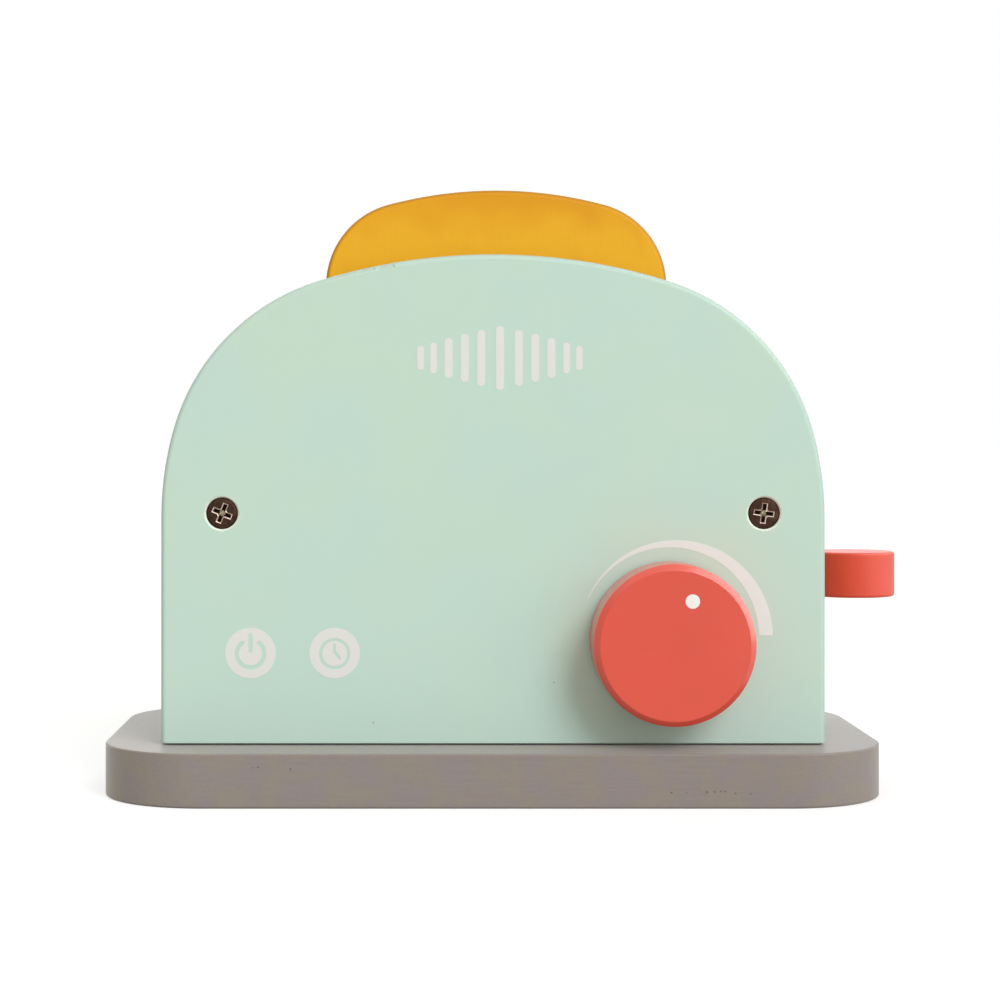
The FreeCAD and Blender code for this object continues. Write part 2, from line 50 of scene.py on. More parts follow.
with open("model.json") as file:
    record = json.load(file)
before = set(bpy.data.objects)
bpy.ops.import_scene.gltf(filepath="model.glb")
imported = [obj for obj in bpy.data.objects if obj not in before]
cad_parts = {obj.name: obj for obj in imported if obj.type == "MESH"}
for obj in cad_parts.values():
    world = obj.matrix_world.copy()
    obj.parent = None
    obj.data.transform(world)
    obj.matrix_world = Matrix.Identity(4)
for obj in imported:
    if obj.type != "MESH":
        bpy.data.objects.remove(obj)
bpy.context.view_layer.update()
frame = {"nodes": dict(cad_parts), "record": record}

MM = 0.001
NODES = frame["nodes"]
BODY_OF = {node: body for body, group in frame["record"]["behaviour"]["bodies"].items() for node in group}


# ---- places taken from the frame ----
def reach(node, axis):
    """Lowest and highest place of a node along an axis, 0 to 2."""
    low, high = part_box(node)
    return low[axis], high[axis]


DECK_Z = reach("base_board", 2)[1]
BASE_FRONT_Y = reach("base_board", 1)[0]
PANEL_FACE_Y = reach("front_panel", 1)[0]
KNOB_X = sum(reach("knob", 0)) / 2
KNOB_Z = sum(reach("knob", 2)) / 2
KNOB_FACE_Y = reach("knob", 1)[0]
FRONT_HEAD_Y, FRONT_TIP_Y = reach("front_panel_screws", 1)
REAR_HEAD_Y = reach("rear_panel_screws", 1)[1]
BASE_HEAD_Z = reach("base_screws", 2)[0]
SCREW_LENGTH = FRONT_TIP_Y - FRONT_HEAD_Y
HEAD_RADIUS = (reach("front_panel_screws", 2)[1] - reach("front_panel_screws", 2)[0]) / 2
PANEL_SCREW_X = reach("front_panel_screws", 0)[1] - HEAD_RADIUS
PANEL_SCREW_Z = sum(reach("front_panel_screws", 2)) / 2
BASE_SCREW_X = reach("base_screws", 0)[1] - HEAD_RADIUS
BASE_SCREW_Y = reach("base_screws", 1)[1] - HEAD_RADIUS


def srgb(code):
    """Linear RGBA of an sRGB hex colour."""
    channels = [int(code[i:i + 2], 16) / 255 for i in (1, 3, 5)]
    return (*[c / 12.92 if c <= 0.04045 else ((c + 0.055) / 1.055) ** 2.4 for c in channels], 1.0)


# ---- settings ----
def length(name, description, millimetres):
    return bpy.props.FloatProperty(name=name, description=description, default=millimetres * MM,
                                   unit="LENGTH", precision=5)


def colour(name, description, code):
    return bpy.props.FloatVectorProperty(name=name, description=description, default=srgb(code),
                                         subtype="COLOR", size=4, min=0.0, max=1.0)


def number(name, description, value):
    return bpy.props.FloatProperty(name=name, description=description, default=value)


def angle(name, description, degrees):
    return bpy.props.FloatProperty(name=name, description=description, default=math.radians(degrees),
                                   subtype="ANGLE")


def direction(name, description, towards):
    return bpy.props.FloatVectorProperty(name=name, description=description, default=towards,
                                         subtype="DIRECTION")


class ToasterColours(bpy.types.PropertyGroup):
    mint: colour("Mint", "Lacquer of the arched body", "#c5ddcd")
    mint_cool: colour("Cool mint", "Bluer patches in the mint", "#c1dcd0")
    grey: colour("Grey", "Paint of the base board", "#968d84")
    grey_mauve: colour("Mauve grey", "Cooler patches in the grey", "#948a89")
    red: colour("Red", "Lacquer of the knob", "#dc3f1f")
    # painted light: the knob's red made a shade lighter on the lever's handle, to stand in for light on it
    handle_red_lit: colour("Handle red", "Lacquer of the lever's handle, a shade livelier", "#de4527")
    # browner patches in the golden, and also the base of the painted shade round the slices' edges
    golden: colour("Golden", "Lacquer of the toast", "#ecad27")
    golden_brown_and_edge_shade: colour("Crust", "Browner patches in the golden", "#e09a20")
    ink: colour("Ink", "Printed bars and icons", "#e2e2dd")
    scale_ink: colour("Scale ink", "Printed crescent, a cooler white", "#e0e9e5")
    dot: colour("Dot", "Paint of the knob's pointer dot", "#f4f2ef")
    bronze: colour("Bronze", "Plating of the body's screws", "#49352b")
    beech: colour("Beech", "Unpainted inner pieces", "#d8b48a")


class ToasterPrints(bpy.types.PropertyGroup):
    film: length("Ink film", "How far the ink stands out of the lacquer", 0.06)
    vent_x: length("Vent middle", "To the right of the body's middle", 1.93)
    vent_z: length("Vent height", "Above the base board", 108.67)
    vent_bar: length("Bar width", "Width of an inner bar", 2.25)
    vent_end_bar: length("End bar width", "Width of the two outer bars on each side", 1.84)
    icon_radius: length("Icon radius", "Outside of each round icon", 7.1)
    icon_z: length("Icon height", "Above the base board", 25.86)
    power_x: length("Power icon", "To the right of the body's middle", -68.09)
    clock_x: length("Clock icon", "To the right of the body's middle", -44.47)
    scale_inner: length("Scale inner radius", "Inner circle of the crescent", 25.1)
    scale_outer: length("Scale outer radius", "Outer circle of the crescent", 27.1)
    scale_x: length("Scale middle", "Inner circle, to the right of the body's middle", 49.5)
    scale_z: length("Scale height", "Both circles, above the base board", 30.45)
    scale_shift: length("Scale swell", "Outer circle, to the right of the inner one", 1.9)
    scale_end: length("Scale end", "The crescent's level right end, above the base board", 30.83)
    scale_sweep: angle("Scale sweep", "Where the crescent's thin end stops, from its right end", 155)
    dot_radius: length("Dot radius", "Pointer dot on the knob", 1.99)
    dot_sink: length("Dot sink", "Depth of the shallow seat that the dot fills", 0.12)
    dot_x: length("Dot across", "To the right of the knob's axis", 4.63)
    dot_z: length("Dot height", "Above the knob's axis", 12.15)


class ToasterScrews(bpy.types.PropertyGroup):
    recess: length("Recess", "Across the arms of the cross, with its worn edge", 5.8)
    arm: length("Arm width", "Width of an arm, with its worn edge", 1.6)
    hub: length("Hub", "Across the flats of the cross's square middle, with its worn edge", 2.8)
    worn_edge: length("Worn edge", "Width of the bevel round the cross", 0.26)
    depth: length("Depth", "Depth of the cross's middle", 2.3)
    arm_depth: length("Arm depth", "Depth of the cross's arms", 1.25)
    shank: length("Shank", "Diameter of the shank", 4.4)
    rim: length("Rim", "Straight rim above the head's cone", 0.5)


class ToasterStage(bpy.types.PropertyGroup):
    camera_x: length("Camera across", "To the right of the base's middle", -21.84)
    camera_back: length("Camera distance", "In front of the base board", 626.16)
    camera_z: length("Camera height", "Above the base board", 86.44)
    lens: number("Lens", "Focal length in millimetres", 82.63)
    shift_x: number("Shift X", "Sideways lens shift", 0.08473)
    shift_y: number("Shift Y", "Upward lens shift", -0.06274)
    key: number("Key lamp", "Strength of the soft lamp in front, on the right", 1.56)
    key_towards: direction("Key direction", "Where the key lamp stands", (0.4, -0.74, 0.6))
    key_spread: angle("Key spread", "Angle that the key lamp fills", 28)
    fill: number("Fill lamp", "Strength of the broad, low lamp in front", 0.55)
    fill_towards: direction("Fill direction", "Where the fill lamp stands", (0.7, -0.7, 0.1))
    fill_spread: angle("Fill spread", "Angle that the fill lamp fills", 45)
    top: number("Top lamp", "Strength of the broad lamp above", 0.5)
    top_towards: direction("Top direction", "Where the top lamp stands", (-0.25, -0.1, 0.95))
    top_spread: angle("Top spread", "Angle that the top lamp fills", 70)
    back: number("Back lamp", "Strength of the broad lamp behind", 1.1)
    back_towards: direction("Back direction", "Where the back lamp stands", (-0.3, 0.9, 0.3))
    back_spread: angle("Back spread", "Angle that the back lamp fills", 70)
    side: number("Side lamp", "Strength of the broad lamp on the right that shows in gloss alone", 4.0)
    side_towards: direction("Side direction", "Where the side lamp stands", (0.85, -0.12, 0.5))
    side_spread: angle("Side spread", "Angle that the side lamp fills", 80)
    lamp_tint: colour("Lamp tint", "Colour of the lamps, a little cool", "#f7f9ff")
    sky: number("Sky", "Strength of the light from all round", 0.52)
    sky_tint: colour("Sky tint", "Colour of the light from all round, a little warm", "#fffcec")
    floor: colour("Floor", "Plain card under the toy, where light falls on it", "#b7b7b8")
    floor_glow: number("Floor white", "White of the card before any light", 0.6)
    floor_bounce: colour("Floor bounce", "Colour of the light that the card gives back", "#c7c3bf")


# ---- materials ----
def add(tree, kind, inputs=None, **settings):
    """Adds one node with its settings; an input takes a value, a socket or a node's output."""
    node = tree.nodes.new("ShaderNode" + kind)
    for name, value in settings.items():
        setattr(node, name, value)
    for key, value in (inputs or {}).items():
        socket = node.inputs[key] if isinstance(key, int) else next(
            s for s in node.inputs if s.name == key and s.enabled)
        if isinstance(value, bpy.types.Node):
            value = next(s for s in value.outputs if s.enabled)
        if isinstance(value, bpy.types.NodeSocket):
            tree.links.new(value, socket)
        else:
            socket.default_value = value
    return node


def bare_material(name):
    material = bpy.data.materials.new(name)
    material.use_nodes = True
    material.node_tree.nodes.clear()
    return material, material.node_tree


def deeper(tone, share):
    """The same hue with a share of its light taken away."""
    return (*[c * (1 - share) for c in tone[:3]], 1.0)


def tinted(tree, base, tone, pattern, low, high, share=1.0):
    """The base colour with a tone mixed in: none where the pattern is at low, the share at high."""
    factor = add(tree, "MapRange", {"Value": pattern, "From Min": low, "From Max": high, "To Max": share})
    return add(tree, "Mix", {"Factor": factor, "A": base, "B": tone}, data_type="RGBA")


def skin(tree, base, height, depth, pattern, roughness, others, low=0.3, high=0.7, invert=False):
    """Ends a material. The height pattern stands out by the depth, or in where it is inverted, and the
    roughness goes from its first value to its second as the other pattern goes from low to high."""
    normal = add(tree, "Bump", {"Height": height, "Distance": depth}, invert=invert)
    gloss = add(tree, "MapRange", {"Value": pattern, "From Min": low, "From Max": high,
                                   "To Min": roughness[0], "To Max": roughness[1]})
    surface = add(tree, "BsdfPrincipled",
                  {"Base Color": base, "Roughness": gloss, "Normal": normal, **others})
    add(tree, "OutputMaterial", {"Surface": surface})


def mint_lacquer(tone, cool):
    """Water-based lacquer sprayed on sanded, filled board. The film drifts a little in hue over
    a hand's width, carries a fine orange peel that softens its sheen, and holds a few specks of
    dust. Painted shade darkens it where the boards' edges round over, and a painted highlight
    lays a thin pale ring in each countersink's mouth round the screw."""
    material, tree = bare_material("Sprayed_lacquer_mint_on_board")
    coordinates = add(tree, "TexCoord")
    place = coordinates.outputs["Object"]
    drift = add(tree, "TexNoise", {"Vector": place, "Scale": 1 / (28 * MM), "Detail": 2.0})
    base = tinted(tree, tone, cool, drift, 0.35, 0.65)
    # cooler towards the lower left corner
    corner = add(tree, "VectorMath", {0: place, 1: (-0.35, 0, -0.94)}, operation="DOT_PRODUCT")
    base = tinted(tree, base, cool, corner.outputs["Value"], -80 * MM, 10 * MM, 0.7)
    # painted shade: the lacquer is painted darker where the boards' edges round over, between face and wall
    facing = add(tree, "SeparateXYZ", {"Vector": coordinates.outputs["Normal"]})
    facing = add(tree, "Math", {0: facing.outputs["Y"]}, operation="ABSOLUTE")
    turned = add(tree, "Math", {0: 1.0, 1: facing}, operation="SUBTRACT")
    turned = add(tree, "Math", {0: turned, 1: facing}, operation="MULTIPLY")
    base = tinted(tree, base, deeper(tone, 0.36), turned, 0.0, 0.25, 0.5)
    # dust specks about 0.4 mm across, one in a few centimetres
    dust = add(tree, "TexVoronoi", {"Vector": place, "Scale": 1 / (24 * MM)})
    base = tinted(tree, base, deeper(tone, 0.75), dust, 0.014, 0.007, 0.5)
    # painted highlight: a ragged pale ring round the screw's axis, in the mouth of each countersink where
    # light catches it
    spot = add(tree, "SeparateXYZ", {"Vector": place})
    across = add(tree, "Math", {0: spot.outputs["X"]}, operation="ABSOLUTE")
    across = add(tree, "Math", {0: across, 1: PANEL_SCREW_X}, operation="SUBTRACT")
    up = add(tree, "Math", {0: spot.outputs["Z"], 1: PANEL_SCREW_Z}, operation="SUBTRACT")
    ring = add(tree, "CombineXYZ", {"X": across, "Y": up})
    ring = add(tree, "VectorMath", {0: ring}, operation="LENGTH").outputs["Value"]
    ragged = add(tree, "TexNoise", {"Vector": place, "Scale": 1 / (1.1 * MM), "Detail": 2.0})
    ragged = add(tree, "MapRange", {"Value": ragged, "To Min": -0.3 * MM, "To Max": 0.3 * MM})
    ring = add(tree, "Math", {0: ring, 1: ragged}, operation="ADD")
    base = tinted(tree, base, srgb("#eaf3e2"), ring, HEAD_RADIUS + 0.7 * MM, HEAD_RADIUS + 0.45 * MM)
    # orange peel, drawn at 1.6 mm, a little coarser than the real 0.8 mm so that it shows
    peel = add(tree, "TexNoise", {"Vector": place, "Scale": 1 / (1.6 * MM), "Detail": 2.0})
    skin(tree, base, peel, 0.005 * MM, drift, (0.45, 0.52), {"IOR": 1.5, "Specular IOR Level": 0.25},
         low=0.35, high=0.65)
    return material


def red_lacquer(name, tone, grain_share, coat):
    """Satin lacquer sprayed on turned or sawn beech, with a clear coat: a rich, smooth film with a
    bright line where an edge rounds over. The share says how far the upright grain shows through,
    and the coat how much of the clear coat there is."""
    material, tree = bare_material(name)
    place = add(tree, "TexCoord").outputs["Object"]
    drift = add(tree, "TexNoise", {"Vector": place, "Scale": 1 / (12 * MM), "Detail": 2.0})
    base = tinted(tree, tone, deeper(tone, 0.04), drift, 0.35, 0.65)
    # grain lines 0.6 mm apart and some 10 mm long, upright
    along = add(tree, "Mapping", {"Vector": place, "Scale": (1, 1, 1 / 16)})
    grain = add(tree, "TexNoise", {"Vector": along, "Scale": 1 / (0.6 * MM), "Detail": 3.0})
    base = tinted(tree, base, deeper(tone, 0.45), grain, 0.4, 0.7, grain_share)
    # the sprayed film's own fine peel, drawn at 1.2 mm
    peel = add(tree, "TexNoise", {"Vector": place, "Scale": 1 / (1.2 * MM), "Detail": 2.0})
    skin(tree, base, peel, 0.008 * MM, peel, (0.40, 0.46),
         {"IOR": 1.5, "Coat Weight": coat, "Coat Roughness": 0.22})
    return material


# dimples in the front edge of the base board: place from the middle, height and radius, in millimetres
DIMPLES = ((-64.8, 11.3, 0.42), (-66.2, 11.2, 0.2), (-56.0, 10.8, 0.34), (48.0, 4.4, 0.3), (52.2, 4.5, 0.2),
           (57.7, 4.5, 0.42), (59.8, 4.6, 0.32), (61.6, 4.7, 0.28), (62.7, 4.7, 0.28), (65.5, 4.2, 0.32),
           (69.6, 4.1, 0.22))


def grey_paint(tone, mauve):
    """Water-based paint on a filled and sanded board, brushed out flat. Its grey wanders between
    olive and mauve, a faint sheen catches low light, and a few dimples where a pore drew the paint
    in sit in the front edge."""
    material, tree = bare_material("Brushed_paint_grey_on_filled_board")
    place = add(tree, "TexCoord").outputs["Object"]
    drift = add(tree, "TexNoise", {"Vector": place, "Scale": 1 / (7 * MM), "Detail": 3.0})
    base = tinted(tree, tone, mauve, drift, 0.4, 0.6)
    # fine mottle, 0.8 mm
    mottle = add(tree, "TexNoise", {"Vector": place, "Scale": 1 / (0.8 * MM), "Detail": 3.0})
    base = tinted(tree, base, deeper(tone, 0.5), mottle, 0.35, 0.65, 0.07)
    # brushing streaks along the board, 0.5 mm wide and some 15 mm long
    along = add(tree, "Mapping", {"Vector": place, "Scale": (1 / 30, 1, 1)})
    streaks = add(tree, "TexNoise", {"Vector": along, "Scale": 1 / (0.5 * MM), "Detail": 2.0})
    base = tinted(tree, base, deeper(tone, 0.5), streaks, 0.35, 0.65, 0.09)
    # dimples, each a round dent in the front edge, bumped in and painted darker inside as painted shade
    spot = add(tree, "SeparateXYZ", {"Vector": place})
    flat = add(tree, "CombineXYZ", {"X": spot.outputs["X"], "Y": spot.outputs["Z"]})
    dents = None
    for x, z, radius in DIMPLES:
        apart = add(tree, "VectorMath", {0: flat, 1: (x * MM, z * MM, 0)}, operation="DISTANCE")
        dent = add(tree, "MapRange", {"Value": apart.outputs["Value"], "From Min": radius * MM,
                                      "From Max": 0.2 * radius * MM}, interpolation_type="SMOOTHSTEP")
        dents = add(tree, "Math", {0: dents, 1: dent}, operation="MAXIMUM") if dents else dent
    front = add(tree, "Math", {0: spot.outputs["Y"], 1: BASE_FRONT_Y + 4 * MM}, operation="LESS_THAN")
    dents = add(tree, "Math", {0: dents, 1: front}, operation="MULTIPLY")
    base = tinted(tree, base, deeper(tone, 0.75), dents, 0.0, 1.0, 0.25)
    relief = add(tree, "Math", {0: mottle, 1: 0.06}, operation="MULTIPLY")
    relief = add(tree, "Math", {0: relief, 1: dents}, operation="SUBTRACT")
    skin(tree, base, relief, 0.25 * MM, mottle, (0.40, 0.48),
         {"IOR": 1.5, "Specular IOR Level": 0.1, "Sheen Weight": 0.4, "Sheen Roughness": 0.35})
    return material


def golden_lacquer(tone, brown_and_edge_shade):
    """Matt lacquer sprayed on upright-grained beech. The film is even, warm and dull, browner
    towards the top and painted darker round the edge as painted shade, and a faint upright grain shows
    through."""
    material, tree = bare_material("Sprayed_matt_lacquer_golden_on_beech")
    coordinates = add(tree, "TexCoord")
    place = coordinates.outputs["Object"]
    drift = add(tree, "TexNoise", {"Vector": place, "Scale": 1 / (20 * MM), "Detail": 2.0})
    spot = add(tree, "SeparateXYZ", {"Vector": place})
    high = add(tree, "MapRange", {"Value": spot.outputs["Z"], "From Min": DECK_Z + 143 * MM,
                                  "From Max": DECK_Z + 158 * MM, "To Min": -0.25, "To Max": 0.25})
    drift = add(tree, "Math", {0: drift, 1: high}, operation="ADD")
    base = tinted(tree, tone, brown_and_edge_shade, drift, 0.3, 0.7)
    # painted shade: darker brown where the edge turns away from the slice's two faces
    facing = add(tree, "SeparateXYZ", {"Vector": coordinates.outputs["Normal"]})
    facing = add(tree, "Math", {0: facing.outputs["Y"]}, operation="ABSOLUTE")
    base = tinted(tree, base, deeper(brown_and_edge_shade, 0.3), facing, 0.995, 0.75)
    # grain lines 0.7 mm apart and some 12 mm long, upright
    along = add(tree, "Mapping", {"Vector": place, "Scale": (1, 1, 1 / 18)})
    grain = add(tree, "TexNoise", {"Vector": along, "Scale": 1 / (0.7 * MM), "Detail": 3.0})
    base = tinted(tree, base, deeper(tone, 0.4), grain, 0.4, 0.7, 0.035)
    skin(tree, base, grain, 0.006 * MM, grain, (0.46, 0.54), {"IOR": 1.5, "Specular IOR Level": 0.12})
    return material


def printing_ink(name, tone):
    """Pad-printed or screen-printed ink: flat and dense, a little smoother than the lacquer,
    with a pinhole mottle."""
    material, tree = bare_material(name)
    place = add(tree, "TexCoord").outputs["Object"]
    mottle = add(tree, "TexNoise", {"Vector": place, "Scale": 1 / (0.4 * MM), "Detail": 2.0})
    base = tinted(tree, tone, deeper(tone, 0.4), mottle, 0.4, 0.75, 0.06)
    skin(tree, base, mottle, 0.006 * MM, mottle, (0.42, 0.50), {"IOR": 1.48})
    return material


def antique_bronze(name, tone, roughness):
    """Steel with a dark bronze plating, tumbled: a dull brown skin, patchy, with fine scratches."""
    material, tree = bare_material(name)
    place = add(tree, "TexCoord").outputs["Object"]
    stains = add(tree, "TexNoise", {"Vector": place, "Scale": 1 / (0.9 * MM), "Detail": 3.0})
    base = tinted(tree, tone, deeper(tone, 0.5), stains, 0.35, 0.65)
    along = add(tree, "Mapping", {"Vector": place, "Rotation": (0, 0.6, 0), "Scale": (1 / 8, 1, 1)})
    scratches = add(tree, "TexNoise", {"Vector": along, "Scale": 1 / (0.12 * MM), "Detail": 2.0})
    skin(tree, base, scratches, 0.02 * MM, scratches, (roughness - 0.08, roughness + 0.1), {"Metallic": 1.0})
    return material


def worn_steel():
    """Edge of the cross where a driver has rubbed the plating through: bright, pinkish, dented."""
    material, tree = bare_material("Rubbed_plating_bright_steel")
    place = add(tree, "TexCoord").outputs["Object"]
    dents = add(tree, "TexNoise", {"Vector": place, "Scale": 1 / (0.25 * MM), "Detail": 2.0})
    base = tinted(tree, srgb("#f7e9df"), srgb("#d3b4a4"), dents, 0.35, 0.65)
    skin(tree, base, dents, 0.03 * MM, dents, (0.25, 0.4), {"Metallic": 1.0})
    return material


def sanded_beech(name, tone, run):
    """Sanded, unpainted beech: a pale pinkish brown with short dark flecks along the grain, which
    runs along the axis whose entry in run is small."""
    material, tree = bare_material(name)
    place = add(tree, "TexCoord").outputs["Object"]
    along = add(tree, "Mapping", {"Vector": place, "Scale": run})
    bands = add(tree, "TexNoise", {"Vector": along, "Scale": 1 / (2.2 * MM), "Detail": 2.0})
    base = tinted(tree, tone, deeper(tone, 0.16), bands, 0.35, 0.65)
    # ray flecks, 0.35 mm wide
    flecks = add(tree, "TexNoise", {"Vector": along, "Scale": 1 / (0.35 * MM), "Detail": 1.0})
    flecks = add(tree, "MapRange", {"Value": flecks, "From Min": 0.6, "From Max": 0.75, "To Max": 0.35})
    base = add(tree, "Mix", {"Factor": flecks, "A": base, "B": deeper(tone, 0.5)}, data_type="RGBA")
    skin(tree, base, flecks, 0.04 * MM, bands, (0.6, 0.7), {"IOR": 1.45}, invert=True)
    return material


def bright_metal(name, tone, roughness, run):
    """Steel with a thin bright skin, or polished wire: cloudy, with drawing or tumbling lines
    0.15 mm apart, long along the axis whose entry in run is small."""
    material, tree = bare_material(name)
    place = add(tree, "TexCoord").outputs["Object"]
    clouds = add(tree, "TexNoise", {"Vector": place, "Scale": 1 / (3 * MM), "Detail": 3.0})
    base = tinted(tree, tone, deeper(tone, 0.18), clouds, 0.35, 0.65)
    along = add(tree, "Mapping", {"Vector": place, "Scale": run})
    lines = add(tree, "TexNoise", {"Vector": along, "Scale": 1 / (0.15 * MM), "Detail": 2.0})
    skin(tree, base, lines, 0.01 * MM, lines, (roughness - 0.06, roughness + 0.08), {"Metallic": 1.0})
    return material


def wool_felt(tone):
    """Pressed wool felt: soft and matt, a tangle of crossing fibres, drawn at 0.3 mm."""
    material, tree = bare_material("Pressed_wool_felt_grey")
    place = add(tree, "TexCoord").outputs["Object"]
    fibres = add(tree, "TexNoise", {"Vector": place, "Scale": 1 / (0.3 * MM), "Detail": 4.0,
                                    "Distortion": 1.5})
    base = tinted(tree, tone, deeper(tone, 0.35), fibres, 0.35, 0.65)
    normal = add(tree, "Bump", {"Height": fibres, "Distance": 0.15 * MM})
    surface = add(tree, "BsdfPrincipled", {"Base Color": base, "Roughness": 0.95, "Sheen Weight": 0.4,
                                           "Sheen Roughness": 0.5, "Normal": normal})
    add(tree, "OutputMaterial", {"Surface": surface})
    return material


def dress(material, *nodes):
    """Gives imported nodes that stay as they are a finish."""
    for node in nodes:
        mesh = NODES[node].data
        mesh.materials.clear()
        mesh.materials.append(material)


# ---- modelling ----
def let_go():
    """Back to object mode with nothing selected."""
    if bpy.context.object and bpy.context.object.mode != "OBJECT":
        bpy.ops.object.mode_set(mode="OBJECT")
    bpy.ops.object.select_all(action="DESELECT")


def take_up(piece):
    let_go()
    piece.select_set(True)
    bpy.context.view_layer.objects.active = piece


def smooth(piece, degrees):
    """Shades a piece smoothly, except where it turns by more than an angle."""
    take_up(piece)
    bpy.ops.object.shade_smooth_by_angle(angle=math.radians(degrees))


def settle(piece, name):
    """Names a piece and puts its place, turn and size into its mesh."""
    take_up(piece)
    bpy.ops.object.transform_apply(location=True, rotation=True, scale=True)
    piece.name = piece.data.name = name
    return piece


def pick(piece, level, wanted):
    """Edit mode with only those vertices, edges or faces selected that pass the test: a vertex by
    its place, an edge by its two ends' places, a face by its middle and normal."""
    take_up(piece)
    bpy.ops.object.mode_set(mode="EDIT")
    bpy.ops.mesh.select_mode(type=level)
    bpy.ops.mesh.select_all(action="DESELECT")
    bpy.ops.object.mode_set(mode="OBJECT")
    mesh = piece.data
    if level == "VERT":
        for corner in mesh.vertices:
            corner.select = wanted(corner.co)
    elif level == "EDGE":
        for edge in mesh.edges:
            edge.select = all(wanted(mesh.vertices[i].co) for i in edge.vertices)
    else:
        for face in mesh.polygons:
            face.select = wanted(face.center, face.normal)
    bpy.ops.object.mode_set(mode="EDIT")


def slug(radius, thickness, x, z, sides=128):
    """Round blank across the front panel's face, half of it in the panel."""
    let_go()
    bpy.ops.mesh.primitive_cylinder_add(vertices=sides, radius=radius, depth=thickness,
                                        location=(x, PANEL_FACE_Y, z), rotation=(math.pi / 2, 0, 0))
    return settle(bpy.context.object, "slug")


def round_ended_bar(width, long, thickness, x, z, lean=0.0):
    """Bar with half-round ends across the front panel's face, leaning to the right by an angle."""
    let_go()
    bpy.ops.mesh.primitive_cylinder_add(vertices=32, radius=width / 2, depth=thickness,
                                        rotation=(math.pi / 2, 0, 0))
    bar = settle(bpy.context.object, "bar")
    for end in (1, -1):
        pick(bar, "VERT", lambda place: place.z * end > width / 100)
        bpy.ops.transform.translate(value=(0, 0, end * (long - width) / 2))
    let_go()
    bar.rotation_euler = (0, lean, 0)
    bar.location = (x, PANEL_FACE_Y, z)
    return settle(bar, "bar")


def cut(piece, tool, operation="DIFFERENCE"):
    """Boolean of a piece with a tool, which is used up and leaves its finish on the cut."""
    take_up(piece)
    step = piece.modifiers.new("cut", "BOOLEAN")
    step.operation = operation
    step.solver = "EXACT"
    step.material_mode = "TRANSFER"
    step.object = tool
    bpy.ops.object.modifier_apply(modifier=step.name)
    bpy.data.objects.remove(tool, do_unlink=True)
    return piece


def join(pieces, name):
    let_go()
    for piece in pieces:
        piece.select_set(True)
    bpy.context.view_layer.objects.active = pieces[0]
    if len(pieces) > 1:
        bpy.ops.object.join()
    return settle(bpy.context.object, name)


def give(piece, material, body):
    """Finish and body of a new piece."""
    piece.data.materials.clear()
    piece.data.materials.append(material)
    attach(piece, body)


def finish(material, *nodes):
    """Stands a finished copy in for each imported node: its loose triangles are merged, the normals
    they came with are dropped, and its rounded edges are shaded smoothly into its flat faces."""
    pieces = []
    for node in nodes:
        piece = bpy.data.objects.new(node + "_finished", NODES[node].data.copy())
        bpy.context.collection.objects.link(piece)
        pick(piece, "VERT", lambda place: True)
        bpy.ops.mesh.remove_doubles(threshold=0.001 * MM)
        take_up(piece)
        bpy.ops.mesh.customdata_custom_splitnormals_clear()
        smooth(piece, 32)
        step = piece.modifiers.new("even", "WEIGHTED_NORMAL")
        step.keep_sharp = True
        bpy.ops.object.modifier_apply(modifier=step.name)
        piece.data.name = piece.name
        give(piece, material, BODY_OF[node])
        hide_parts(node)
        pieces.append(piece)
    return pieces


# ---- painted pieces ----
class TOASTER_OT_boards(bpy.types.Operator):
    """Lacquers the arched body mint and paints the base board grey"""
    bl_idname = "toaster.boards"
    bl_label = "Boards"

    def execute(self, context):
        tones = context.scene.toaster_colours
        finish(mint_lacquer(tuple(tones.mint), tuple(tones.mint_cool)),
               "front_panel", "rear_panel", "left_side_block", "right_side_block", "slot_divider")
        finish(grey_paint(tuple(tones.grey), tuple(tones.grey_mauve)), "base_board")
        return {"FINISHED"}


class TOASTER_OT_toast(bpy.types.Operator):
    """Lacquers the slices of toast golden"""
    bl_idname = "toaster.toast"
    bl_label = "Toast"

    def execute(self, context):
        tones = context.scene.toaster_colours
        finish(golden_lacquer(tuple(tones.golden), tuple(tones.golden_brown_and_edge_shade)), "front_toast", "rear_toast")
        return {"FINISHED"}


